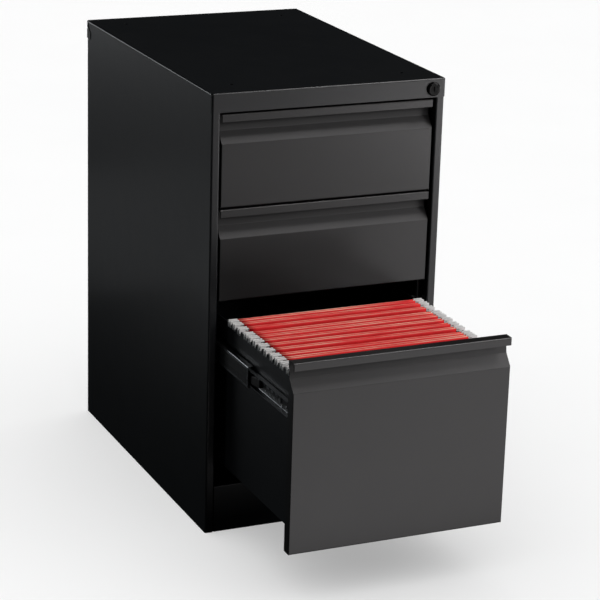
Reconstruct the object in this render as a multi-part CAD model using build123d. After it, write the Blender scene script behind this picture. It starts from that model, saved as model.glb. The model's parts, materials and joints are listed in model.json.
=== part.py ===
from build123d import *
import math
import os

# Three-drawer steel pedestal: two box drawers over a file drawer, one lock for all three.
# Millimetres. Origin at the centre of the case's footprint on the floor,
# +X to the user's right, +Y to the back, +Z up. The drawers open towards -Y.

# ---- driving dimensions -------------------------------------------------------------
WIDTH = 384.0
DEPTH = 571.5
HEIGHT = 698.5
SHEET = 1.0                 # case and drawer steel
CAP_SKIRT = 29.3            # height of the top's front and rear aprons
CAP_TAB = 20.0              # how far the aprons wrap round each corner
CAP_MITRE = 17.5            # drop of the mitred upper edge of each tab
CAP_CORNER = 4.0
CAP_EDGE = 2.5
SEAM = 0.1                  # gap between sheets that lie on each other
STILE_WIDTH = 14.0
STILE_RETURN = 15.0
REAR_FLANGE = 14.4
CASE_BEND = 2.0             # inner radius of the side panels' bends
BASE_HEIGHT = 77.2
BASE_FLANGE = 20.0          # upturned sides of the base plate
SEAT_HEIGHT = 8.0           # raised seats for the glides
WEIGHT_HALF = 120.0
WEIGHT_Y = (165.0, 275.0)
WEIGHT_TOP = 26.0

FRONT_RECESS = 2.5          # drawer faces behind the stiles
FRONT_GAP = 2.9             # between one drawer front and the next
SIDE_GAP = 3.5              # between a drawer front and the stiles
TOP_GAP = 3.7               # under the apron
BOX_FRONT = 143.1
FILE_FRONT = 293.1
PULL_LIP = 11.8             # height of the pull's front lip
PULL_DEPTH = 18.0
PULL_FOOT = 14.0            # depth at the foot of the recess wall, which leans forward
PULL_WALL = 27.4            # from the front's top to the foot of the recess wall
PULL_SLOPE = 17.7           # drop of the slope below it
BODY_INSET = 28.6           # body bottom above the front's bottom, and its top below the front's top
BODY_HALF = 160.5
BODY_LENGTH = 508.0
BODY_FLANGE = 12.5
BACK_DROP = 22.0            # drawer back below the drawer sides

SLIDE_LENGTH = 508.0
SLIDE_SETBACK = 33.75       # slide's front end behind the front of the case
SLIDE_DROP = 52.0           # slide's centre line below the top of the drawer side
SLIDE_STEEL = 1.2
OUTER_HALF = 22.5           # half heights of the three members of a slide
MIDDLE_HALF = 17.2
INNER_HALF = 11.9
FILE_OPEN = 285.0           # how far the file drawer stands open
CAGE_LENGTH = 250.0
CAGE_STEEL = 0.4
BALL_RADIUS = 1.75
BALL_PITCH = 24.0
SLIDE_SCREWS = (40.0, 448.0)  # behind a drawer member's front end

RIVET_RADIUS = 1.95
RIVET_HEAD = 3.3
RIVET_TAIL = 2.8
RIVET_FIRST = 60.0          # height of the lowest back rivet, and the step between them
RIVET_STEP = 140.0
RIVET_ROWS = 5
SCREW_RADIUS = 1.95
SCREW_HEAD = 3.6            # radius
SCREW_HEAD_HEIGHT = 2.0
HOLE_RADIUS = 2.0           # clearance holes for rivets and screws

UPRIGHT_STEEL = 1.2
UPRIGHT_WIDTH = 30.0
UPRIGHT_FACE = 173.5        # inner face of the uprights
UPRIGHT_BOTTOM = 24.0
UPRIGHT_TOP = 668.0
UPRIGHT_REAR_Y = 215.0      # middle of the rear pair

LOCK_X = 171.0
LOCK_Z = 682.3
LOCK_BARREL = 9.5
LOCK_BEZEL = 11.0
BEZEL_PROUD = 4.0
BEZEL_ROUND = 3.2
LOCK_PLUG = 7.0
LOCK_NUT = 23.0             # across flats
KEY_SLOT = (1.8, 8.4)
PLUG_TAIL = 3.0             # half width of the square tail
RUNNING = 0.05
CRANK = 8.5                 # crank pin's distance from the lock's axis
CRANK_PIN = 2.0
CRANK_REST = 45.0           # degrees above +X, unlocked
BAR_Y = (-252.0, -232.0)
BAR_TOP = 694.5
BAR_STEEL = 1.5
HOOK_Y = (-248.0, -244.0)
CATCH_LOW = 24.0            # catch on the drawer side, above the slide's centre line
CATCH_HIGH = 36.0
HOOK_LOW = 38.0             # lock bar's hook, unlocked
HOOK_HIGH = 46.0

GLIDE_X = 150.0
GLIDE_Y = 235.0
GLIDE_PAD = 17.0
GLIDE_STEM = 4.0
GLIDE_TOP = 45.0
FIXING_X = 140.6            # holes in the top for fixing under a worksurface
FIXING_Y = 234.0
FIXING_RADIUS = 3.3

FOLDERS = 13
FOLDER_PITCH = 20.2
FOLDER_HALF = 147.5
FOLDER_HEIGHT = 232.0
ROD_OFFSET = 3.6            # from a folder's middle to each of its rods
HOOK_STRIP = 3.0

# ---- derived places ---------------------------------------------------------------------
FRONT = -DEPTH / 2
REAR = DEPTH / 2
SIDE = WIDTH / 2 - SHEET - SEAM          # outer face of the side panels
CASE_FRONT = FRONT + SHEET + SEAM        # front face of the stiles
CASE_REAR = REAR - SHEET - SEAM
SKIRT_BOTTOM = HEIGHT - CAP_SKIRT
CASE_TOP = HEIGHT - CAP_EDGE + 0.4       # top of the side panels, under the cap's rolled edge
OPENING_HALF = SIDE - STILE_WIDTH        # inner edges of the stiles
FACE = CASE_FRONT + FRONT_RECESS         # faces of the closed drawers
FRONT_HALF = OPENING_HALF - SIDE_GAP
BODY_FRONT = FACE + PULL_DEPTH + SHEET
BODY_REAR = BODY_FRONT + BODY_LENGTH
SLIDE_FRONT = FRONT + SLIDE_SETBACK
BACK_FACE = CASE_REAR - 2 * SHEET - SEAM  # inner face of the back panel
BACK_OUT = BACK_FACE + SHEET
OUTER_WEB = UPRIGHT_FACE - SEAM           # x of the slide members' webs
MIDDLE_WEB = OUTER_WEB - SLIDE_STEEL - 1.0
INNER_WEB = BODY_HALF + SEAM
INNER_EDGE = MIDDLE_WEB - SLIDE_STEEL - 1.1
PLUG_REAR = FRONT + 25.75
CAM_REAR = PLUG_REAR + 3
BAR_NEAR = UPRIGHT_FACE + UPRIGHT_STEEL + 0.8
BAR_X = (BAR_NEAR, BAR_NEAR + BAR_STEEL)


# ---- helpers --------------------------------------------------------------------------
def block(x, y, z):
    """Box between low and high values on each axis."""
    spans = [high - low for low, high in (x, y, z)]
    middle = [(high + low) / 2 for low, high in (x, y, z)]
    return Pos(*middle) * Box(*spans)


def rod_y(x, z, y, radius):
    """Round bar along Y between two y values."""
    return Pos(x, (y[0] + y[1]) / 2, z) * Rot(90, 0, 0) * Cylinder(radius, y[1] - y[0])


def rod_x(y, z, x, radius):
    """Round bar along X between two x values."""
    return Pos((x[0] + x[1]) / 2, y, z) * Rot(0, 90, 0) * Cylinder(radius, x[1] - x[0])


def rod_z(x, y, z, radius):
    """Round bar along Z between two z values."""
    return Pos(x, y, (z[0] + z[1]) / 2) * Cylinder(radius, z[1] - z[0])


def moved_left(points, distance):
    """The polyline's points moved to its left by a distance, mitred at the corners."""
    normals = []
    for (ax, ay), (bx, by) in zip(points, points[1:]):
        length = math.hypot(bx - ax, by - ay)
        normals.append((-(by - ay) / length, (bx - ax) / length))
    before = [normals[0]] + normals
    after = normals + [normals[-1]]
    result = []
    for (x, y), (ax, ay), (bx, by) in zip(points, before, after):
        scale = distance / (1 + ax * bx + ay * by)
        result.append((x + (ax + bx) * scale, y + (ay + by) * scale))
    return result


def folded(points, thickness, bend=1.0):
    """Cross-section of a sheet folded along a polyline, with the sheet on the line's left."""
    near_radii, far_radii = [], []
    for (ax, ay), (bx, by), (cx, cy) in zip(points, points[1:], points[2:]):
        turns_left = (bx - ax) * (cy - by) - (by - ay) * (cx - bx) > 0
        near_radii.append(bend + thickness if turns_left else bend)
        far_radii.append(bend if turns_left else bend + thickness)
    near = FilletPolyline(*points, radius=near_radii)
    far = FilletPolyline(*moved_left(points, thickness), radius=far_radii)
    ends = [Line(near @ 1, far @ 1), Line(near @ 0, far @ 0)]
    return make_face(near.edges() + far.edges() + [end.edge() for end in ends])


def along_x(face, x):
    return extrude(Plane.YZ.offset(x[0]) * face, amount=x[1] - x[0])


def along_y(face, y):
    return extrude(Plane.XZ.offset(-y[1]) * face, amount=y[1] - y[0])


def along_z(face, z):
    return extrude(Plane.XY.offset(z[0]) * face, amount=z[1] - z[0])


def outline(*points):
    """Flat face inside straight edges."""
    return make_face(Polyline(*points, close=True).edges())


def left_of(shape):
    """The shape's mirror image on the cabinet's left."""
    return mirror(shape, about=Plane.YZ)


def save(name, *shapes):
    """One node: its solids, each a separate piece, in one file."""
    solids = [solid for shape in shapes for solid in shape.solids()]
    shape = solids[0] if len(solids) == 1 else Compound(solids)
    shape.label = name
    export_step(shape, f"parts/{name}.step")


# ---- case -----------------------------------------------------------------------------
def back_rivet_places():
    """(x, z) of the rivets on the right that hold the back panel to the rear flange."""
    x = SIDE - REAR_FLANGE / 2
    return [(x, RIVET_FIRST + row * RIVET_STEP) for row in range(RIVET_ROWS)]


def side_panel():
    """Right side panel: front stile with its return, side, rear flange."""
    points = [
        (OPENING_HALF, CASE_FRONT + STILE_RETURN),
        (OPENING_HALF, CASE_FRONT),
        (SIDE, CASE_FRONT),
        (SIDE, CASE_REAR),
        (SIDE - REAR_FLANGE, CASE_REAR),
    ]
    panel = along_z(folded(points, SHEET, CASE_BEND), (0, CASE_TOP))
    corner = SIDE - SHEET - CASE_BEND
    for near, far in ((CASE_FRONT - 1, CASE_FRONT + STILE_RETURN + 1),
                      (CASE_REAR - SHEET - 1, CASE_REAR + 1)):
        panel -= block((OPENING_HALF - 5, corner), (near, far), (SKIRT_BOTTOM - 0.3, HEIGHT))
    for x, z in back_rivet_places():
        panel -= rod_y(x, z, (CASE_REAR - 3, CASE_REAR + 1), HOLE_RADIUS)
    return panel


def rounded_lid(inset):
    """Rounded block that bounds the cap's outside, or its inside when inset by the sheet."""
    low = SKIRT_BOTTOM - (5 if inset else 0)
    body = block(
        (-WIDTH / 2 + inset, WIDTH / 2 - inset),
        (FRONT + inset, REAR - inset),
        (low, HEIGHT - inset),
    )
    body = fillet(body.edges().filter_by(Axis.Z), CAP_CORNER - inset)
    return fillet(body.faces().sort_by(Axis.Z)[-1].edges(), CAP_EDGE - inset)


def top_panel():
    """Top with aprons front and rear that wrap each corner in a mitred tab."""
    cap = rounded_lid(0) - rounded_lid(SHEET)
    reach = WIDTH / 2 + 1
    side_cut = outline(
        (FRONT + CAP_TAB, SKIRT_BOTTOM - 1),
        (FRONT + CAP_TAB, CASE_TOP - CAP_MITRE),
        (FRONT + 1.5, CASE_TOP + SEAM),
        (REAR - 1.5, CASE_TOP + SEAM),
        (REAR - CAP_TAB, CASE_TOP - CAP_MITRE),
        (REAR - CAP_TAB, SKIRT_BOTTOM - 1),
    )
    inner = SIDE - 0.05
    cap -= along_x(side_cut, (inner, reach)) + along_x(side_cut, (-reach, -inner))
    flange_half = SIDE - SHEET - 3
    flange_depth = 17.0
    floor = (SKIRT_BOTTOM, SKIRT_BOTTOM + SHEET)
    cap += block((-flange_half, flange_half), (FRONT + 0.5, FRONT + flange_depth), floor)
    cap += block((-flange_half, flange_half), (REAR - flange_depth, REAR - 0.5), floor)
    cap -= rod_y(LOCK_X, LOCK_Z, (FRONT - 1, FRONT + 3), LOCK_BARREL + 0.1)
    for x in (-FIXING_X, FIXING_X):
        for y in (-FIXING_Y, FIXING_Y):
            cap -= rod_z(x, y, (HEIGHT - 5, HEIGHT + 1), FIXING_RADIUS)
    return cap


def back_panel():
    """Flat back behind the rear flanges."""
    half = SIDE - SHEET - 1.5
    panel = block((-half, half), (BACK_FACE, BACK_OUT), (2, SKIRT_BOTTOM - 0.2))
    for x, z in back_rivet_places():
        hole = rod_y(x, z, (BACK_FACE - 1, BACK_OUT + 1), HOLE_RADIUS)
        panel -= hole + left_of(hole)
    return panel


def rivets():
    """Domed rivets through the back panel and the rear flanges."""
    pieces = []
    for x, z in back_rivet_places():
        shank = rod_y(x, z, (BACK_FACE, CASE_REAR), RIVET_RADIUS)
        head = rod_y(x, z, (CASE_REAR, CASE_REAR + 0.9), RIVET_HEAD)
        head = chamfer(head.edges().group_by(Axis.Y)[-1], 0.5)
        tail = rod_y(x, z, (BACK_FACE - 1.5, BACK_FACE), RIVET_TAIL)
        rivet = shank + head + tail
        pieces += [rivet, left_of(rivet)]
    return pieces


def bottom_plate():
    """Base plate with side flanges and four raised seats for the glides."""
    half = SIDE - SHEET - SEAM
    near = CASE_FRONT + SHEET + SEAM
    points = [(-half, BASE_FLANGE), (-half, 0), (half, 0), (half, BASE_FLANGE)]
    plate = along_y(folded(points, SHEET), (near, BACK_FACE - 1))
    notch_inner = OPENING_HALF - 0.5
    notch_rear = CASE_FRONT + STILE_RETURN + 0.5
    notch = block((notch_inner, half + 1), (near - 1, notch_rear), (-1, BASE_FLANGE + 5))
    plate -= notch + left_of(notch)
    nut_top = SEAT_HEIGHT + 9
    for x in (-GLIDE_X, GLIDE_X):
        for y in (-GLIDE_Y, GLIDE_Y):
            plate += rod_z(x, y, (0, SEAT_HEIGHT + SHEET), GLIDE_PAD + 2)
            plate += rod_z(x, y, (SEAT_HEIGHT, nut_top), 2 * GLIDE_STEM)
            plate -= rod_z(x, y, (-1, SEAT_HEIGHT), GLIDE_PAD + 1)
            plate -= rod_z(x, y, (0, nut_top + 1), GLIDE_STEM + RUNNING)
    return plate


def glides():
    """Four levelling feet screwed fully in, pads flush with the base plate."""
    pieces = []
    pad_height = 5.0
    for x in (-GLIDE_X, GLIDE_X):
        for y in (-GLIDE_Y, GLIDE_Y):
            pad = rod_z(x, y, (0, pad_height), GLIDE_PAD)
            pad = chamfer(pad.edges().group_by(Axis.Z)[-1], 2.0)
            stem = rod_z(x, y, (pad_height, GLIDE_TOP), GLIDE_STEM)
            slot = block((x - 5, x + 5), (y - 0.6, y + 0.6), (GLIDE_TOP - 2.5, GLIDE_TOP + 1))
            pieces.append(pad + stem - slot)
    return pieces


def base_front_panel():
    """Flush panel under the file drawer, with a return along its top and bottom."""
    half = OPENING_HALF - 0.2
    foot = SHEET + 0.2
    points = [
        (CASE_FRONT + 14, foot),
        (CASE_FRONT, foot),
        (CASE_FRONT, BASE_HEIGHT),
        (CASE_FRONT + 22, BASE_HEIGHT),
    ]
    section = folded([(y, z) for y, z in reversed(points)], SHEET)
    return along_x(section, (-half, half))


def upright(middle, slots=()):
    """Right-hand channel that carries the slides, open towards the side panel."""
    foot = SIDE - SHEET - SEAM
    near, far = middle - UPRIGHT_WIDTH / 2, middle + UPRIGHT_WIDTH / 2
    points = [(foot, far), (UPRIGHT_FACE, far), (UPRIGHT_FACE, near), (foot, near)]
    channel = along_z(folded(points, UPRIGHT_STEEL), (UPRIGHT_BOTTOM, UPRIGHT_TOP))
    for low, high in slots:
        web = (UPRIGHT_FACE - 1, UPRIGHT_FACE + 2 * UPRIGHT_STEEL)
        channel -= block(web, (HOOK_Y[0] - 1.5, HOOK_Y[1] + 1.5), (low, high))
    return channel


def counterweight():
    """Cast block between the rear glides, so that an open file drawer can't tip the case."""
    weight = block((-WEIGHT_HALF, WEIGHT_HALF), WEIGHT_Y, (SHEET + SEAM, WEIGHT_TOP))
    return chamfer(weight.edges().filter_by(Axis.Z), 6)


# ---- drawers --------------------------------------------------------------------------
def drawer_levels():
    """Name, top of the front, height of the front and how far open, from the top down."""
    top = SKIRT_BOTTOM - TOP_GAP
    levels = []
    for name, height, opened in (("upper", BOX_FRONT, 0.0),
                                 ("middle", BOX_FRONT, 0.0),
                                 ("file", FILE_FRONT, FILE_OPEN)):
        levels.append((name, top, height, opened))
        top -= height + FRONT_GAP
    return levels


def slide_level(front_top):
    """Height of a drawer's slides."""
    return front_top - BODY_INSET - SLIDE_DROP


def front_screw_places(top, height):
    """(x, z) of the four screws, two each side, that hold the front's liner to the body."""
    from_edge = 18.0
    low = top - height + BODY_INSET + from_edge
    high = top - BODY_INSET - from_edge
    x = BODY_HALF - BODY_FLANGE / 2 - 1
    return [(side * x, z) for side in (-1, 1) for z in (low, high)]


def drawer_front(top, height):
    """Folded front: pull lip, recess wall, slope, face, bottom return, end flanges."""
    bottom = top - height
    bend_z = top - PULL_WALL
    face_top = bend_z - PULL_SLOPE
    points = [
        (FACE + SHEET, top - PULL_LIP),
        (FACE + SHEET, top - SHEET),
        (FACE + PULL_DEPTH, top - SHEET),
        (FACE + PULL_FOOT, bend_z),
        (FACE, face_top),
        (FACE, bottom),
        (FACE + PULL_DEPTH - 0.2, bottom),
    ]
    front = along_x(folded(points, SHEET), (-FRONT_HALF, FRONT_HALF))
    cheek = outline(
        (FACE + 0.4, bottom + 0.4),
        (FACE + 0.4, face_top),
        (FACE + PULL_FOOT, bend_z),
        (FACE + PULL_DEPTH, bend_z),
        (FACE + PULL_DEPTH, bottom + 0.4),
    )
    cheek_plate = along_x(cheek, (FRONT_HALF - SHEET, FRONT_HALF))
    front += cheek_plate + left_of(cheek_plate)
    envelope = block(
        (-FRONT_HALF, FRONT_HALF),
        (FACE, FACE + PULL_DEPTH + 2 * SHEET),
        (bottom - 1, top + 1),
    )
    envelope = fillet(envelope.edges().filter_by(Axis.Z).group_by(Axis.Y)[0], SHEET)
    return front & envelope


def front_liner(top, height):
    """Flat inner sheet that closes the back of the drawer front."""
    half = FRONT_HALF - 2
    y = (FACE + PULL_DEPTH + 0.1, FACE + PULL_DEPTH + 0.9)
    liner = block((-half, half), y, (top - height + 1.5, top - PULL_WALL - 1.5))
    for x, z in front_screw_places(top, height):
        liner -= rod_y(x, z, (y[0] - 1, y[1] + 1), HOLE_RADIUS)
    return liner


def catch(level):
    """Tab on the drawer's right side that the lock bar's hook blocks."""
    y = (HOOK_Y[1] + 1, HOOK_Y[1] + 3)
    z = (level + CATCH_LOW, level + CATCH_HIGH)
    near = BODY_HALF + SEAM / 2
    blade = block((near, BODY_HALF + 9), y, z)
    foot = block((near, BODY_HALF + 1.2), (y[0], y[1] + 18), z)
    return blade + foot


def drawer_body(top, height):
    """Bottom and two sides of the drawer, with end flanges."""
    low = top - height + BODY_INSET
    high = top - BODY_INSET
    level = slide_level(top)
    points = [
        (BODY_HALF - BODY_FLANGE, BODY_FRONT),
        (BODY_HALF, BODY_FRONT),
        (BODY_HALF, BODY_REAR),
        (BODY_HALF - BODY_FLANGE, BODY_REAR),
    ]
    side = along_z(folded(points, SHEET), (low, high))
    for offset in SLIDE_SCREWS:
        side -= rod_x(SLIDE_FRONT + offset, level, (BODY_HALF - 3, BODY_HALF + 3), HOLE_RADIUS)
    inner = BODY_HALF - SHEET / 2
    floor = block((-inner, inner), (BODY_FRONT + SHEET / 2, BODY_REAR - SHEET / 2), (low, low + SHEET))
    body = side + left_of(side) + floor
    for x, z in front_screw_places(top, height):
        body -= rod_y(x, z, (BODY_FRONT - 1, BODY_FRONT + 3), HOLE_RADIUS)
    return body


def drawer_back(top, height):
    """Back of the drawer, with a folded top edge."""
    half = BODY_HALF - SHEET - 1.1
    low = top - height + BODY_INSET + SHEET + 0.1
    high = top - BODY_INSET - BACK_DROP
    y = BODY_REAR - SHEET - 0.1
    points = [(y, low), (y, high), (y - 10, high)]
    return along_x(folded(points, SHEET), (-half, half))


def drawer_fixings(top, height):
    """Lock catch, and screws through the front flanges and the drawer members of the slides."""
    pieces = [catch(slide_level(top))]
    for x, z in front_screw_places(top, height):
        seat = BODY_FRONT + SHEET
        shank = rod_y(x, z, (FACE + PULL_DEPTH - 3, seat), SCREW_RADIUS)
        head = rod_y(x, z, (seat, seat + SCREW_HEAD_HEIGHT), SCREW_HEAD)
        pieces.append(shank + head)
    level = slide_level(top)
    web = INNER_WEB + SLIDE_STEEL
    for offset in SLIDE_SCREWS:
        y = SLIDE_FRONT + offset
        shank = rod_x(y, level, (BODY_HALF - 3, web), SCREW_RADIUS)
        head = rod_x(y, level, (web, web + SCREW_HEAD_HEIGHT), SCREW_HEAD)
        screw = shank + head
        pieces += [screw, left_of(screw)]
    return pieces


# ---- telescopic slides ------------------------------------------------------------------
def slide_member(web, edge, half, level, front):
    """Right-hand channel member: web at one x, flanges to the other, centred on a level."""
    points = [(edge, level - half), (web, level - half), (web, level + half), (edge, level + half)]
    if edge > web:
        points.reverse()
    section = folded(points, SLIDE_STEEL, 1.2)
    return along_y(section, (front, front + SLIDE_LENGTH))


def outer_member(level):
    return slide_member(OUTER_WEB, BODY_HALF + 1.8, OUTER_HALF, level, SLIDE_FRONT)


def middle_member(level, opened):
    return slide_member(MIDDLE_WEB, BODY_HALF + 2.5, MIDDLE_HALF, level, SLIDE_FRONT - opened / 2)


def inner_member(level):
    member = slide_member(INNER_WEB, INNER_EDGE, INNER_HALF, level, SLIDE_FRONT)
    for offset in SLIDE_SCREWS:
        member -= rod_x(SLIDE_FRONT + offset, level, (INNER_WEB - 1, INNER_WEB + 3), HOLE_RADIUS)
    return member


def ball_cage(web, edge, half, ball_x, level, shift):
    """Retainer strip with two rows of balls, for the right-hand slide."""
    start = SLIDE_FRONT + (SLIDE_LENGTH - CAGE_LENGTH) / 2 - shift
    points = [(edge, level - half), (web, level - half), (web, level + half), (edge, level + half)]
    section = folded(points, CAGE_STEEL, 0.4)
    cage = along_y(section, (start, start + CAGE_LENGTH))
    row = half - CAGE_STEEL / 2
    count = int((CAGE_LENGTH - 10) / BALL_PITCH) + 1
    first = start + (CAGE_LENGTH - (count - 1) * BALL_PITCH) / 2
    for index in range(count):
        for z in (level - row, level + row):
            cage += Pos(ball_x, first + index * BALL_PITCH, z) * Sphere(BALL_RADIUS)
    return cage


def outer_cage(level, opened):
    """Between the cabinet member and the middle member."""
    row = (OUTER_HALF - SLIDE_STEEL + MIDDLE_HALF) / 2
    web = MIDDLE_WEB + 0.3 + CAGE_STEEL
    return ball_cage(web, web - 7, row + CAGE_STEEL / 2, BODY_HALF + 7, level, opened / 4)


def inner_cage(level, opened):
    """Between the middle member and the drawer member."""
    row = (MIDDLE_HALF - SLIDE_STEEL + INNER_HALF) / 2
    web = INNER_EDGE + 0.3 + CAGE_STEEL
    return ball_cage(web, web - 6.5, row + CAGE_STEEL / 2, BODY_HALF + 5.5, level, opened * 3 / 4)


# ---- lock -------------------------------------------------------------------------------
def lock_housing():
    """Barrel through the apron with a proud rounded bezel."""
    bezel = rod_y(LOCK_X, LOCK_Z, (FRONT - BEZEL_PROUD, FRONT), LOCK_BEZEL)
    bezel = fillet(bezel.edges().group_by(Axis.Y)[0], BEZEL_ROUND)
    barrel = rod_y(LOCK_X, LOCK_Z, (FRONT, PLUG_REAR - 0.3), LOCK_BARREL)
    bore = rod_y(LOCK_X, LOCK_Z, (FRONT - 5, PLUG_REAR + 1), LOCK_PLUG + RUNNING)
    return bezel + barrel - bore


def lock_nut():
    """Hexagonal nut that clamps the housing behind the apron."""
    height = 3.0
    rear = FRONT + SHEET + SEAM + height
    nut_face = Plane.XZ.offset(-rear) * RegularPolygon(LOCK_NUT / math.sqrt(3), 6)
    nut = Pos(LOCK_X, 0, LOCK_Z) * extrude(nut_face, amount=height)
    return nut - rod_y(LOCK_X, LOCK_Z, (FRONT, FRONT + 6), LOCK_BARREL + RUNNING)


def lock_plug():
    """Turning plug with a key slot and a square tail for the cam."""
    plug = rod_y(LOCK_X, LOCK_Z, (FRONT - 3.2, PLUG_REAR), LOCK_PLUG)
    plug = chamfer(plug.edges().group_by(Axis.Y)[0], 0.6)
    slot_width, slot_height = KEY_SLOT
    plug -= Pos(LOCK_X, FRONT + 6, LOCK_Z) * Box(slot_width, 20, slot_height)
    square = block(
        (LOCK_X - PLUG_TAIL, LOCK_X + PLUG_TAIL),
        (PLUG_REAR, CAM_REAR + 0.8),
        (LOCK_Z - PLUG_TAIL, LOCK_Z + PLUG_TAIL),
    )
    return plug + square


def crank_place():
    """(x, z) of the crank pin with the lock open."""
    turn = math.radians(CRANK_REST)
    return LOCK_X + CRANK * math.cos(turn), LOCK_Z + CRANK * math.sin(turn)


def lock_cam():
    """Crank on the plug's tail, its pin in the lock bar's window."""
    pin_x, pin_z = crank_place()
    hub = rod_y(LOCK_X, LOCK_Z, (PLUG_REAR, CAM_REAR), 6.0)
    tip = rod_y(pin_x, pin_z, (PLUG_REAR, CAM_REAR), 3.6)
    pin = rod_y(pin_x, pin_z, (CAM_REAR, CAM_REAR + 6.5), CRANK_PIN)
    fit = PLUG_TAIL + RUNNING
    socket = block(
        (LOCK_X - fit, LOCK_X + fit),
        (PLUG_REAR - 1, CAM_REAR + 1),
        (LOCK_Z - fit, LOCK_Z + fit),
    )
    return hub + tip + pin - socket


def lock_bar(levels):
    """Sliding bar with a window for the crank pin and one hook for each drawer."""
    _, pin_z = crank_place()
    lowest = min(slide_level(top) for _, top, _, _ in levels) + HOOK_LOW - 6
    head = (pin_z - 7.3, BAR_TOP)
    bar = block(BAR_X, BAR_Y, (lowest, BAR_TOP))
    bar += block(BAR_X, (BAR_Y[0] - 3.5, BAR_Y[0]), head)
    bar += block((LOCK_X + 1.2, LOCK_X + 14), (BAR_Y[0] - 3.5, BAR_Y[0] - 2), head)
    play = 0.7
    window = (pin_z - CRANK_PIN - play, pin_z + CRANK_PIN + play)
    bar -= block((LOCK_X + 3.4, LOCK_X + 11.4), (BAR_Y[0] - 5, BAR_Y[1] + 10), window)
    for _, top, _, _ in levels:
        level = slide_level(top)
        hook = (level + HOOK_LOW, level + HOOK_HIGH)
        bar += block((BODY_HALF + 5.5, BAR_X[1]), HOOK_Y, hook)
    return bar


# ---- hanging folders in the file drawer ---------------------------------------------------
def folder_places():
    """y of each hanging folder in the closed drawer."""
    first = BODY_FRONT + 9
    return [first + index * FOLDER_PITCH for index in range(FOLDERS)]


def folder_pockets(rail):
    """One tapered pocket for each folder, hanging below the rail height."""
    pieces = []
    for y in folder_places():
        high = rail + 0.5
        low = high - FOLDER_HEIGHT
        section = outline((y - 4.5, high), (y - 1, low), (y + 1, low), (y + 4.5, high))
        pieces.append(along_x(section, (-FOLDER_HALF, FOLDER_HALF)))
    return pieces


def folder_rods(rail):
    """Two steel rods along the top of each pocket."""
    half = FOLDER_HALF + 6
    return [
        block((-half, half), (y + side - 0.8, y + side + 0.8), (rail + 0.6, rail + 5.6))
        for y in folder_places()
        for side in (-ROD_OFFSET, ROD_OFFSET)
    ]


def folder_hooks(rail):
    """Plastic hook on each rod end, notched over the top edge of the drawer side."""
    pieces = []
    for y in folder_places():
        for side in (-ROD_OFFSET, ROD_OFFSET):
            width = (y + side - HOOK_STRIP / 2, y + side + HOOK_STRIP / 2)
            hook = block((FOLDER_HALF + 6.1, BODY_HALF + 2.7), width, (rail + 0.3, rail + 6.2))
            hook += block((BODY_HALF + 0.7, BODY_HALF + 2.7), width, (rail - 6, rail + 1))
            hook += block((BODY_HALF - 5, BODY_HALF - 1.7), width, (rail - 5, rail + 1))
            pieces += [hook, left_of(hook)]
    return pieces


# ---- build every node -----------------------------------------------------------------------
def build_case(levels):
    panel = side_panel()
    save("side_panel_right", panel)
    save("side_panel_left", left_of(panel))
    save("top_panel", top_panel())
    save("back_panel", back_panel())
    save("back_rivets", *rivets())
    save("bottom_plate", bottom_plate())
    save("base_front_panel", base_front_panel())
    save("levelling_glides", *glides())
    save("counterweight", counterweight())
    slots = []
    for _, top, _, _ in levels:
        level = slide_level(top)
        slots.append((level + CATCH_LOW, level + HOOK_HIGH + 1.5))
    front_middle = BAR_Y[0] + UPRIGHT_WIDTH / 2 - 4
    save("upright_front_right", upright(front_middle, slots))
    save("upright_front_left", left_of(upright(front_middle)))
    save("upright_rear_right", upright(UPRIGHT_REAR_Y))
    save("upright_rear_left", left_of(upright(UPRIGHT_REAR_Y)))


def build_lock(levels):
    save("lock_housing", lock_housing())
    save("lock_nut", lock_nut())
    save("lock_plug", lock_plug())
    save("lock_cam", lock_cam())
    save("lock_bar", lock_bar(levels))


def build_drawer(name, top, height, opened):
    out = Pos(0, -opened, 0)
    level = slide_level(top)
    save(f"{name}_drawer_front", out * drawer_front(top, height))
    save(f"{name}_drawer_liner", out * front_liner(top, height))
    save(f"{name}_drawer_body", out * drawer_body(top, height))
    save(f"{name}_drawer_back", out * drawer_back(top, height))
    save(f"{name}_drawer_screws_and_catch", *[out * piece for piece in drawer_fixings(top, height)])
    members = {
        "outer": outer_member(level),
        "middle": middle_member(level, opened),
        "inner": out * inner_member(level),
    }
    for part, member in members.items():
        save(f"{name}_slide_{part}_right", member)
        save(f"{name}_slide_{part}_left", left_of(member))
    for part, cage in (("outer", outer_cage(level, opened)), ("inner", inner_cage(level, opened))):
        save(f"{name}_slide_{part}_cages", cage, left_of(cage))


def build_folders(top, opened):
    out = Pos(0, -opened, 0)
    rail = top - BODY_INSET
    save("folder_pockets", *[out * piece for piece in folder_pockets(rail)])
    save("folder_rods", *[out * piece for piece in folder_rods(rail)])
    save("folder_hooks", *[out * piece for piece in folder_hooks(rail)])


os.makedirs("parts", exist_ok=True)
LEVELS = drawer_levels()
build_case(LEVELS)
build_lock(LEVELS)
for drawer in LEVELS:
    build_drawer(*drawer)
build_folders(LEVELS[-1][1], LEVELS[-1][3])
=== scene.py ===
import json
import math
import random

import bpy
from mathutils import Matrix, Vector

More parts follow.
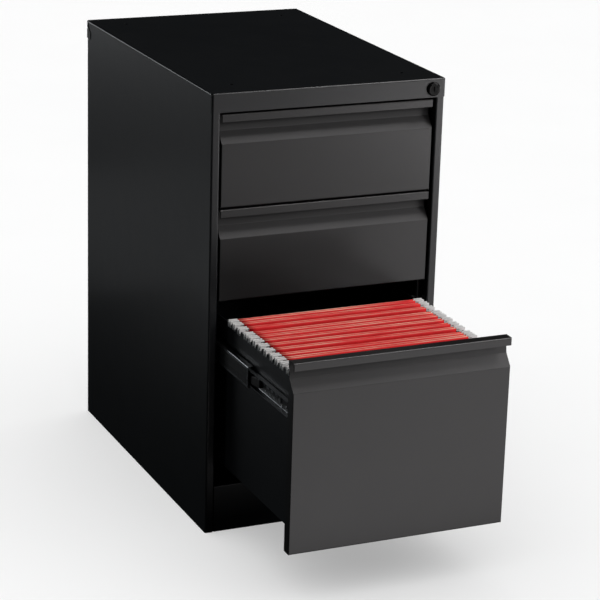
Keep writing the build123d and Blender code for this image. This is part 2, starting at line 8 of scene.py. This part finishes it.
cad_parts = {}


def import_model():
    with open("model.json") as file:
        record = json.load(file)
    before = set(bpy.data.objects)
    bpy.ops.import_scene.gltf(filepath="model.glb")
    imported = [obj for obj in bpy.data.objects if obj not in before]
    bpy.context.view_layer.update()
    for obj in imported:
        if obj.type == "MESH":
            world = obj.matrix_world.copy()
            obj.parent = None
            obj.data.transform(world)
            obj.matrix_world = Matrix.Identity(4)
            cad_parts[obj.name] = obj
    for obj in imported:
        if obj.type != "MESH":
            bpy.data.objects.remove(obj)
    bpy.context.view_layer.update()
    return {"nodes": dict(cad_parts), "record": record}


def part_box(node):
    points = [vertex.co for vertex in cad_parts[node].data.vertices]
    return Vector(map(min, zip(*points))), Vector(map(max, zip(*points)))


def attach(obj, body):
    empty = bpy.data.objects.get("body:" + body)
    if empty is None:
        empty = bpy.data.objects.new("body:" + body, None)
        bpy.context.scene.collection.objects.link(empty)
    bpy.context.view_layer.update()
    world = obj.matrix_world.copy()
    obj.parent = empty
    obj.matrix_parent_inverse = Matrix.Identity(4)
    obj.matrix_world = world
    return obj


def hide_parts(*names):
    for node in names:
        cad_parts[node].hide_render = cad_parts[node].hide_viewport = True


# Three-drawer steel pedestal in satin black, file drawer open, with red hanging folders.
# Metres, in the frame's axes: +X to the user's right, +Y to the back, +Z up.

# ---- driving values -----------------------------------------------------------------
SEED = 7

CAMERA_PLACE = (-1.41, -3.337, 1.46)
CAMERA_AIM = (0.087, 0.0, 0.264)
CAMERA_ROLL = 1.7                     # degrees
CAMERA_LENS = 138.0                   # millimetres
CAMERA_SENSOR = 36.0

FOLDERS = 13
FOLDER_COLUMNS = 24                   # steps across a folder's width
CREST_HIGHLIGHT_FROM = 0.7                       # share of a fold's height where the painted highlight on its crest begins
COAT_ROUGHNESS = 0.22
ROD_HALF_GAP = 0.0036                 # from a folder's middle to each of its rods
ROD_RADIUS = 0.0015
PAPER = 0.0004
PAPER_WRAP = 0.0021                   # outer radius of the paper over a rod
HEM = 0.014
STRIP = 0.0027                        # thickness of a folder's hook strip
SLIDE_STEEL = 0.0012

WARM = (1.0, 0.975, 0.985)
COOL = (0.94, 0.97, 1.0)
# name, place, aim, width and height, watts, colour. The three fills stay between the planes of
# the panels beside the face they light, so that no other panel mirrors them at a grazing angle.
SOFTBOXES = (
    ("key", (4.3, -3.9, 2.45), (0.0, -0.3, 0.4), (1.8, 1.8), 98.0, WARM),
    ("key_high", (3.9, -3.6, 3.6), (0.0, -0.3, 0.4), (1.8, 1.8), 57.0, WARM),
    ("front_high", (0.9, -5.3, 3.6), (0.0, -0.3, 0.4), (1.8, 1.8), 37.0, WARM),
    ("overhead", (2.9, -1.1, 5.6), (0.0, -0.3, 0.4), (1.8, 1.8), 130.0, WARM),
    ("bounce_right", (1.8, -2.2, 0.02), (1.8, -2.2, 1.0), (1.2, 1.8), 31.0, WARM),
    ("bounce_middle", (0.8, -2.2, 0.02), (0.8, -2.2, 1.0), (1.2, 1.6), 2.4, WARM),
    ("bounce_near", (0.25, -1.1, 0.02), (0.25, -1.1, 1.0), (1.0, 0.9), 2.8, WARM),
    ("bounce_near_right", (0.9, -1.3, 0.02), (0.9, -1.3, 1.0), (0.8, 0.8), 1.3, WARM),
    ("side_box", (-1.5, 2.9, 0.85), (-0.2, 0.1, 0.6), (1.5, 1.1), 9.5, COOL),
    ("side_far", (-2.5, 2.8, 0.5), (-0.2, 0.1, 0.5), (1.6, 0.8), 1.3, COOL),
    ("side_bounce_rear", (-0.75, 1.3, 0.02), (-0.75, 1.3, 1.0), (0.7, 0.9), 0.2, COOL),
    ("side_bounce_front", (-1.0, 0.6, 0.02), (-1.0, 0.6, 1.0), (0.6, 0.6), 0.5, COOL),
    ("fill_rear", (0.0, 3.2, 0.36), (0.0, 0.28, 0.36), (0.36, 0.56), 12.0, COOL),
    ("fill_right", (3.2, 0.0, 0.36), (0.2, 0.0, 0.36), (0.54, 0.56), 12.0, COOL),
    ("fill_left", (-3.2, 0.0, 0.36), (-0.2, 0.0, 0.36), (0.54, 0.56), 3.0, COOL),
)


def main():
    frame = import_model()
    finishes = make_finishes()
    paint_cad_nodes(frame, finishes)
    make_folders(finishes)
    make_slide_details(finishes)
    make_floor()
    make_lights()
    make_camera()


# ---- materials ----------------------------------------------------------------------
class Finish:
    """A node material being built round one Principled shader, in object space."""

    def __init__(self, name, roughness, metallic=0.0, coat=0.0, specular=0.5):
        self.material = bpy.data.materials.new(name)
        self.material.use_nodes = True
        self.tree = self.material.node_tree
        self.tree.nodes.clear()
        self.shader = self.tree.nodes.new("ShaderNodeBsdfPrincipled")
        self.shader.inputs["Roughness"].default_value = roughness
        self.shader.inputs["Metallic"].default_value = metallic
        self.shader.inputs["Coat Weight"].default_value = coat
        self.shader.inputs["Coat Roughness"].default_value = COAT_ROUGHNESS
        self.shader.inputs["Specular IOR Level"].default_value = specular
        output = self.tree.nodes.new("ShaderNodeOutputMaterial")
        self.tree.links.new(self.shader.outputs[0], output.inputs["Surface"])
        self.place = self.tree.nodes.new("ShaderNodeTexCoord")

    def noise(self, scale, detail=2.0, stretch=(1, 1, 1)):
        """Noise value, with its grain stretched along an axis where the stretch is small."""
        mapping = self.tree.nodes.new("ShaderNodeMapping")
        mapping.inputs["Scale"].default_value = stretch
        self.tree.links.new(self.place.outputs["Object"], mapping.inputs["Vector"])
        noise = self.tree.nodes.new("ShaderNodeTexNoise")
        noise.inputs["Scale"].default_value = scale
        noise.inputs["Detail"].default_value = detail
        self.tree.links.new(mapping.outputs[0], noise.inputs["Vector"])
        return noise.outputs["Fac"]

    def spread(self, value, low, high):
        """The noise's middle half, mapped to low..high."""
        ranged = self.tree.nodes.new("ShaderNodeMapRange")
        ranged.inputs["From Min"].default_value = 0.3
        ranged.inputs["From Max"].default_value = 0.7
        ranged.inputs["To Min"].default_value = low
        ranged.inputs["To Max"].default_value = high
        self.tree.links.new(value, ranged.inputs["Value"])
        return ranged.outputs[0]

    def colour(self, value, first, second):
        mix = self.tree.nodes.new("ShaderNodeMix")
        mix.data_type = "RGBA"
        mix.inputs["A"].default_value = (*first, 1)
        mix.inputs["B"].default_value = (*second, 1)
        self.tree.links.new(value, mix.inputs["Factor"])
        self.tree.links.new(mix.outputs["Result"], self.shader.inputs["Base Color"])
        return mix

    def roughness(self, value, low, high):
        self.tree.links.new(self.spread(value, low, high), self.shader.inputs["Roughness"])

    def bump(self, value, height, strength=1.0):
        bump = self.tree.nodes.new("ShaderNodeBump")
        bump.inputs["Distance"].default_value = height
        bump.inputs["Strength"].default_value = strength
        self.tree.links.new(value, bump.inputs["Height"])
        self.tree.links.new(bump.outputs[0], self.shader.inputs["Normal"])


def powder_coat(name, dark, light, roughness, grain=1400):
    """Satin powder coat: fine orange peel under a thin glossier skin, with slow drifts."""
    finish = Finish(name, roughness, coat=0.5)
    finish.colour(finish.spread(finish.noise(9, 3), 0, 1), dark, light)
    finish.roughness(finish.noise(30, 3), roughness - 0.012, roughness + 0.012)
    finish.bump(finish.noise(grain, 3), 0.00012, 0.5)
    return finish.material


def rolled_steel(name, dark, light, roughness):
    """Plated strip, with drawing lines along Y."""
    finish = Finish(name, roughness, metallic=1.0)
    finish.colour(finish.spread(finish.noise(60, 4, (1, 0.15, 1)), 0, 1), dark, light)
    lines = finish.noise(900, 2, (1, 0.02, 1))
    finish.roughness(lines, roughness - 0.08, roughness + 0.08)
    finish.bump(lines, 0.00003, 0.6)
    return finish.material


def plain_metal(name, dark, light, roughness):
    """Plated or polished small parts."""
    finish = Finish(name, roughness, metallic=1.0)
    finish.colour(finish.spread(finish.noise(200, 3), 0, 1), dark, light)
    finish.roughness(finish.noise(500, 2), roughness - 0.05, roughness + 0.05)
    finish.bump(finish.noise(2500, 1), 0.00002, 0.5)
    return finish.material


def moulded(name, dark, light, roughness, grain=1800, specular=0.5):
    """Moulded plastic with a fine skin."""
    finish = Finish(name, roughness, specular=specular)
    finish.colour(finish.spread(finish.noise(80, 2), 0, 1), dark, light)
    finish.roughness(finish.noise(300, 2), roughness - 0.05, roughness + 0.05)
    finish.bump(finish.noise(grain, 2), 0.00004, 0.5)
    return finish.material


def cast_iron(name):
    finish = Finish(name, 0.75, metallic=0.3)
    finish.colour(finish.spread(finish.noise(120, 5), 0, 1), (0.03, 0.03, 0.03), (0.07, 0.065, 0.06))
    finish.bump(finish.noise(600, 5), 0.0008, 0.7)
    return finish.material


def pressboard(name):
    """Red folder stock: fibres in the sheet, with pale cream along the folds: a painted highlight on each
    crest over a rod, and edge wear at the bottom fold and the hem.
    """
    finish = Finish(name, 0.62, specular=0.35)
    tone = finish.colour(
        finish.spread(finish.noise(260, 5, (0.3, 1, 1)), 0, 1),
        (0.74, 0.006, 0.009),
        (0.88, 0.012, 0.017),
    )
    # The cream mixed in by this attribute is a painted highlight on the fold crests, plus edge wear at the
    # bottom folds and hems.
    crest_highlight_and_edge_wear = finish.tree.nodes.new("ShaderNodeAttribute")
    crest_highlight_and_edge_wear.attribute_name = "crest_highlight_and_edge_wear"
    patchy_highlight_and_wear = finish.tree.nodes.new("ShaderNodeMath")
    patchy_highlight_and_wear.operation = "MULTIPLY"
    finish.tree.links.new(crest_highlight_and_edge_wear.outputs["Fac"], patchy_highlight_and_wear.inputs[0])
    finish.tree.links.new(finish.spread(finish.noise(45, 4, (0.25, 1, 1)), 0.0, 1.0), patchy_highlight_and_wear.inputs[1])
    pale = finish.tree.nodes.new("ShaderNodeMix")
    pale.data_type = "RGBA"
    pale.inputs["B"].default_value = (1.0, 0.72, 0.52, 1)
    finish.tree.links.new(patchy_highlight_and_wear.outputs[0], pale.inputs["Factor"])
    finish.tree.links.new(tone.outputs["Result"], pale.inputs["A"])
    finish.tree.links.new(pale.outputs["Result"], finish.shader.inputs["Base Color"])
    finish.roughness(finish.noise(700, 3), 0.55, 0.7)
    finish.bump(finish.noise(1500, 4), 0.00008, 0.6)
    return finish.material


def make_finishes():
    """One material for each of the record's slots."""
    return {
        # case_paint is a darker and bluer copy of the fronts' black paint: painted shade, so the case's top
        # and sides read darker than the drawer fronts.
        "case_paint": powder_coat("case_paint", (0.0035, 0.0045, 0.0055), (0.0055, 0.0065, 0.0075), 0.44),
        "front_paint": powder_coat("front_paint", (0.009, 0.0088, 0.0088), (0.012, 0.0117, 0.0117), 0.44),
        "drawer_paint": powder_coat("drawer_paint", (0.012, 0.014, 0.017), (0.017, 0.019, 0.022), 0.45),
        "upright_steel": powder_coat("upright_steel", (0.008, 0.008, 0.009), (0.012, 0.012, 0.013), 0.5),
        "slide_steel": rolled_steel("slide_steel", (0.26, 0.27, 0.28), (0.38, 0.39, 0.40), 0.32),
        "ball_steel": plain_metal("ball_steel", (0.45, 0.45, 0.46), (0.60, 0.60, 0.60), 0.22),
        "zinc_steel": plain_metal("zinc_steel", (0.40, 0.40, 0.41), (0.55, 0.55, 0.54), 0.32),
        "lock_chrome": plain_metal("lock_chrome", (0.004, 0.004, 0.004), (0.008, 0.008, 0.008), 0.14),
        "lock_black": moulded(
            "lock_black", (0.002, 0.002, 0.002), (0.004, 0.004, 0.004), 0.1, specular=0.15
        ),
        "glide_steel": plain_metal("glide_steel", (0.35, 0.35, 0.35), (0.5, 0.5, 0.5), 0.35),
        "cast_weight": cast_iron("cast_weight"),
        "folder_paper": pressboard("folder_paper"),
        "folder_plastic": moulded("folder_plastic", (0.86, 0.87, 0.85), (0.95, 0.95, 0.93), 0.35),
        "groove": powder_coat("groove", (0.010, 0.010, 0.011), (0.022, 0.022, 0.024), 0.5),
        "lever": moulded("lever", (0.012, 0.012, 0.012), (0.02, 0.02, 0.02), 0.45),
    }


def paint_cad_nodes(frame, finishes):
    for part in frame["record"]["subparts"]:
        node = frame["nodes"][part["node"]]
        node.data.materials.clear()
        node.data.materials.append(finishes[part["material_slot"]])


# ---- pieces -------------------------------------------------------------------------
def piece(name, points, faces, material, body, smooth=False):
    """A mesh piece that rides on a body."""
    mesh = bpy.data.meshes.new(name)
    mesh.from_pydata(points, [], faces)
    mesh.validate()
    mesh.materials.append(material)
    if smooth:
        mesh.shade_smooth()
    obj = bpy.data.objects.new(name, mesh)
    bpy.context.scene.collection.objects.link(obj)
    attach(obj, body)
    return obj


class Pile:
    """Points and faces of one mesh, gathered from several shapes."""

    def __init__(self):
        self.points = []
        self.faces = []

    def sweep(self, sections, closed=True, capped=True):
        """Skin between equal rings or lines of points."""
        start = len(self.points)
        count = len(sections[0])
        for section in sections:
            self.points.extend(section)
        around = count if closed else count - 1
        for row in range(len(sections) - 1):
            a = start + row * count
            b = a + count
            for i in range(around):
                j = (i + 1) % count
                self.faces.append((a + i, a + j, b + j, b + i))
        if closed and capped:
            last = start + (len(sections) - 1) * count
            self.faces.append(tuple(range(start + count - 1, start - 1, -1)))
            self.faces.append(tuple(range(last, last + count)))

    def plate(self, outline, place, thickness):
        """A flat outline of (u, v) points, thickened; place(u, v, w) gives the point."""
        near = [place(u, v, 0.0) for u, v in outline]
        far = [place(u, v, thickness) for u, v in outline]
        self.sweep([near, far])


def arc(centre, radius, first, last, steps):
    """Points round an arc, by angle in degrees."""
    points = []
    for step in range(steps + 1):
        angle = math.radians(first + (last - first) * step / steps)
        points.append((centre[0] + radius * math.cos(angle), centre[1] + radius * math.sin(angle)))
    return points


def pocket_profile(bottom, rod_z, bulge):
    """Half a folder's section from its bottom fold up over the rod to the hem, as (y, z, paling): the paling
    is a painted highlight on the crest over the rod, and edge wear at the bottom fold and the hem.
    """
    outer = ROD_HALF_GAP + PAPER_WRAP
    points = [(0.0002, bottom, 0.3), (0.0012, bottom + 0.0015, 0.1)]
    height = rod_z - bottom
    for share in (0.08, 0.2, 0.35, 0.5, 0.65, 0.8, 0.92):
        y = 0.0012 + (outer - 0.0012) * share + bulge * math.sin(math.pi * share)
        points.append((y, bottom + height * share, 0.0))
    points.append((outer, rod_z - 0.003, 0.0))
    # Over the rod the top of the wrap is painted paler: a painted highlight along the crest.
    for y, z in arc((ROD_HALF_GAP, rod_z), PAPER_WRAP, 0, 180, 8):
        lift = (z - rod_z) / PAPER_WRAP
        points.append((y, z, max(0.0, (lift - CREST_HIGHLIGHT_FROM) / (1 - CREST_HIGHLIGHT_FROM))))
    inner = ROD_HALF_GAP - PAPER_WRAP
    points.append((inner, rod_z - HEM / 2, 0.0))
    points.append((inner + 0.0003, rod_z - HEM, 0.3))
    return points


def make_folders(finishes):
    """Hanging folders: one sheet each, folded over two rods, with hooks at both ends."""
    chance = random.Random(SEED)
    paper_low, paper_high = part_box("folder_pockets")
    rods_low, rods_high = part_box("folder_rods")
    hooks_low, hooks_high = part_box("folder_hooks")
    rod_z = (rods_low.z + rods_high.z) / 2
    edge = (rods_high.z - rods_low.z) / 2 + ROD_HALF_GAP
    first, last = rods_low.y + edge, rods_high.y - edge
    sheets, rods, hooks = Pile(), Pile(), Pile()
    highlight_and_wear_values = []
    for index in range(FOLDERS):
        middle = first + (last - first) * index / (FOLDERS - 1)
        skew = chance.uniform(-0.0012, 0.0012)
        shift = chance.uniform(-0.0036, 0.0036) if 0 < index < FOLDERS - 1 else 0.0
        lift = chance.uniform(-0.0005, 0.0003)
        bulge = chance.uniform(0.0002, 0.0012)
        wave = chance.uniform(0.6, 1.6)
        phase = chance.uniform(0, math.tau)

        def centre(x):
            return middle + shift + skew * x / paper_high.x

        for side in (-1, 1):
            profile = pocket_profile(paper_low.z + 0.002, rod_z + lift, bulge)
            sections = []
            for column in range(FOLDER_COLUMNS + 1):
                x = paper_low.x + (paper_high.x - paper_low.x) * column / FOLDER_COLUMNS
                drift = 0.0005 * math.sin(wave * math.tau * column / FOLDER_COLUMNS + phase)
                section = []
                for y, z, crest_highlight_and_edge_wear in profile:
                    slack = 1 - (z - paper_low.z) / (rod_z - paper_low.z)
                    section.append((x, centre(x) + side * y + drift * min(1, 4 * slack), z))
                sections.append(section)
            sheets.sweep(sections, closed=False)
            # Per-point paling for the paper: painted highlight on the crests, edge wear at the bottom fold
            # and the hem.
            highlight_and_wear_values.extend([crest_highlight_and_edge_wear for _, _, crest_highlight_and_edge_wear in profile] * (FOLDER_COLUMNS + 1))
            rod_ring = arc((0, 0), ROD_RADIUS, 0, 330, 11)
            reach = rods_high.x
            rods.sweep([
                [(x, centre(x) + side * ROD_HALF_GAP + u, rod_z + lift + v) for u, v in rod_ring]
                for x in (-reach, reach)
            ])
            for end in (-1, 1):
                place_hook(hooks, end, centre(end * reach) + side * ROD_HALF_GAP, rod_z + lift, hooks_high.x)
    paper = piece("hanging_folders", sheets.points, sheets.faces, finishes["folder_paper"],
                  "file_drawer", smooth=True)
    paper.data.attributes.new("crest_highlight_and_edge_wear", "FLOAT", "POINT").data.foreach_set("value", highlight_and_wear_values)
    thick = paper.modifiers.new("thickness", "SOLIDIFY")
    thick.thickness = PAPER
    thick.offset = -1
    paper.visible_glossy = False  # the drawer above shows no red in its gloss
    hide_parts("folder_pockets")
    steel = piece("folder_steel_rods", rods.points, rods.faces, finishes["zinc_steel"],
                  "file_drawer", smooth=True)
    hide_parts("folder_rods")
    tips = piece("folder_hook_tips", hooks.points, hooks.faces, finishes["folder_plastic"],
                 "file_drawer")
    soften(tips, 0.0004)
    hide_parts("folder_hooks")


def place_hook(pile, end, y, rod_z, reach):
    """Flat hook at a rod's end: it sits on the drawer's side, with its lip outside."""
    top = rod_z + 0.0028
    outline = [
        (reach - 0.0150, top - 0.0052),
        (reach - 0.0150, top),
        (reach - 0.0006, top),
        (reach, top - 0.0008),
        (reach - 0.0002, top - 0.0105),
        (reach - 0.0022, top - 0.0110),
        (reach - 0.0024, top - 0.0052),
        (reach - 0.0052, top - 0.0052),
        (reach - 0.0058, top - 0.0095),
        (reach - 0.0090, top - 0.0095),
        (reach - 0.0100, top - 0.0052),
    ]
    if end < 0:
        outline.reverse()
    pile.plate(outline, lambda u, v, w: (end * u, y - STRIP / 2 + w, v), STRIP)


def stadium(y, z, length, height, steps=5):
    """Outline of a slot with round ends, along Y."""
    radius = height / 2
    reach = length / 2 - radius
    return arc((y + reach, z), radius, -90, 90, steps) + arc((y - reach, z), radius, 90, 270, steps)


def on_web(x, end):
    """Places an outline of (y, z) points on a slide's web, facing outwards from the drawer."""
    return lambda u, v, w: (end * (x + w), u, v)


def make_slide_details(finishes):
    """Pressings, rivets and release levers of the drawer slides."""
    for drawer in ("upper", "middle", "file"):
        grooves, pressings = Pile(), Pile()
        member_grooves, member_pressings, rivets = Pile(), Pile(), Pile()
        for side, end in (("left", -1), ("right", 1)):
            turn = (lambda outline: outline) if end < 0 else (lambda outline: outline[::-1])
            low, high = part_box(f"{drawer}_slide_middle_{side}")
            level = (low.z + high.z) / 2
            web = max(abs(low.x), abs(high.x))
            groove = [
                (low.y + 0.003, level - 0.0122),
                (high.y - 0.003, level - 0.0122),
                (high.y - 0.003, level + 0.0122),
                (low.y + 0.003, level + 0.0122),
            ]
            grooves.plate(turn(groove), on_web(web + 0.00001, end), 0.00008)
            y = low.y + 0.012
            while y < high.y - 0.012:
                for z in (level - 0.0065, level + 0.0065):
                    slot = stadium(y, z, 0.0085, 0.0034)
                    pressings.plate(turn(slot), on_web(web + 0.0001, end), 0.0001)
                y += 0.014
            low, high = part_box(f"{drawer}_slide_inner_{side}")
            web = min(abs(low.x), abs(high.x)) + SLIDE_STEEL
            groove = [
                (low.y + 0.002, level - 0.0092),
                (high.y - 0.002, level - 0.0092),
                (high.y - 0.002, level + 0.0092),
                (low.y + 0.002, level + 0.0092),
            ]
            member_grooves.plate(turn(groove), on_web(web + 0.00001, end), 0.0001)
            y = low.y + 0.055
            while y < high.y - 0.07:
                for slot in (
                    stadium(y, level + 0.003, 0.009, 0.0042),
                    stadium(y + 0.008, level - 0.005, 0.005, 0.0028),
                ):
                    member_pressings.plate(turn(slot), on_web(web, end), 0.0006)
                y += 0.016
            for y, z in ((low.y + 0.018, level - 0.0034), (low.y + 0.034, level - 0.0078)):
                rivets.plate(turn(arc((y, z), 0.0024, 0, 330, 11)), on_web(web, end), 0.0011)
            front = low.y + 0.139
            lever = Pile()
            outline = [
                (front - 0.032, level - 0.005),
                (front - 0.004, level - 0.0085),
                (front, level - 0.0085),
                (front, level + 0.004),
                (front - 0.022, level + 0.0085),
                (front - 0.032, level + 0.0085),
            ]
            lever.plate(turn(outline), on_web(web + 0.0001, end), 0.0055)
            made = piece(f"{drawer}_release_lever_{side}", lever.points, lever.faces, finishes["lever"],
                         f"{drawer}_drawer")
            soften(made, 0.0008)
        middles, body = f"{drawer}_slide_middles", f"{drawer}_drawer"
        piece(f"{drawer}_middle_grooves", grooves.points, grooves.faces, finishes["groove"],
              middles)
        piece(f"{drawer}_middle_pressings", pressings.points, pressings.faces, finishes["lever"],
              middles)
        piece(f"{drawer}_member_grooves", member_grooves.points, member_grooves.faces, finishes["groove"],
              body)
        piece(f"{drawer}_member_pressings", member_pressings.points, member_pressings.faces,
              finishes["slide_steel"], body)
        heads = piece(f"{drawer}_member_rivets", rivets.points, rivets.faces, finishes["ball_steel"],
                      body)
        soften(heads, 0.0006)


def soften(obj, width):
    rounded = obj.modifiers.new("edges", "BEVEL")
    rounded.width = width
    rounded.segments = 2


# ---- studio -------------------------------------------------------------------------
def make_floor():
    finish = Finish("studio_floor", 0.9, specular=0.1)
    finish.colour(finish.noise(3, 2), (0.86, 0.86, 0.86), (0.88, 0.88, 0.88))
    mesh = bpy.data.meshes.new("studio_floor")
    reach = 30.0
    mesh.from_pydata([(-reach, -reach, 0), (reach, -reach, 0), (reach, reach, 0), (-reach, reach, 0)],
                     [], [(0, 1, 2, 3)])
    mesh.materials.append(finish.material)
    floor = bpy.data.objects.new("studio_floor", mesh)
    bpy.context.scene.collection.objects.link(floor)
    floor.visible_diffuse = False
    floor.visible_glossy = False


def softbox(name, place, aim, size, watts, colour=(1, 1, 1)):
    """Rectangular area light that leaves the floor to the floor's own lights."""
    data = bpy.data.lights.new(name, "AREA")
    data.shape = "RECTANGLE"
    data.size, data.size_y = size
    data.energy = watts
    data.color = colour
    lamp = bpy.data.objects.new(name, data)
    bpy.context.scene.collection.objects.link(lamp)
    lamp.location = place
    lamp.rotation_mode = "QUATERNION"
    lamp.rotation_quaternion = (Vector(aim) - Vector(place)).to_track_quat("-Z", "Y")
    lamp.visible_camera = False
    lamp.light_linking.receiver_collection = bpy.data.collections["all_but_floor"]


def floor_light(name, strength, shadow):
    """Light from straight overhead that falls on the floor alone."""
    data = bpy.data.lights.new(name, "SUN")
    data.energy = strength
    data.angle = math.radians(110)
    data.use_shadow = shadow
    lamp = bpy.data.objects.new(name, data)
    bpy.context.scene.collection.objects.link(lamp)
    lamp.light_linking.receiver_collection = bpy.data.collections["floor_only"]


def make_lights():
    """The softboxes, the floor's own lights, and a dim surround that the camera sees as pale."""
    floor = bpy.data.objects["studio_floor"]
    for name, state in (("floor_only", "INCLUDE"), ("all_but_floor", "EXCLUDE")):
        group = bpy.data.collections.new(name)
        group.objects.link(floor)
        group.collection_objects[0].light_linking.link_state = state
    for values in SOFTBOXES:
        softbox(*values)
    floor_light("floor_even", 2.65, False)
    floor_light("floor_soft", 0.9, True)
    world = bpy.data.worlds.new("studio")
    bpy.context.scene.world = world
    world.use_nodes = True
    tree = world.node_tree
    background = tree.nodes["Background"]
    background.inputs["Color"].default_value = (0.8, 0.92, 1.0, 1)
    background.inputs["Strength"].default_value = 0.008
    seen = tree.nodes.new("ShaderNodeBackground")
    seen.inputs["Color"].default_value = (1, 1, 1, 1)
    seen.inputs["Strength"].default_value = 0.95
    path = tree.nodes.new("ShaderNodeLightPath")
    mix = tree.nodes.new("ShaderNodeMixShader")
    tree.links.new(path.outputs["Is Camera Ray"], mix.inputs[0])
    tree.links.new(background.outputs[0], mix.inputs[1])
    tree.links.new(seen.outputs[0], mix.inputs[2])
    tree.links.new(mix.outputs[0], tree.nodes["World Output"].inputs["Surface"])
    bpy.context.scene.view_settings.view_transform = "Standard"


def make_camera():
    data = bpy.data.cameras.new("camera")
    data.lens = CAMERA_LENS
    data.sensor_width = CAMERA_SENSOR
    camera = bpy.data.objects.new("camera", data)
    bpy.context.scene.collection.objects.link(camera)
    place, aim = Vector(CAMERA_PLACE), Vector(CAMERA_AIM)
    level = (aim - place).to_track_quat("-Z", "Y").to_matrix()
    roll = Matrix.Rotation(math.radians(CAMERA_ROLL), 3, "Z")
    camera.matrix_world = Matrix.Translation(place) @ (level @ roll).to_4x4()
    data.clip_start = 0.1
    data.clip_end = 100
    bpy.context.scene.camera = camera


main()
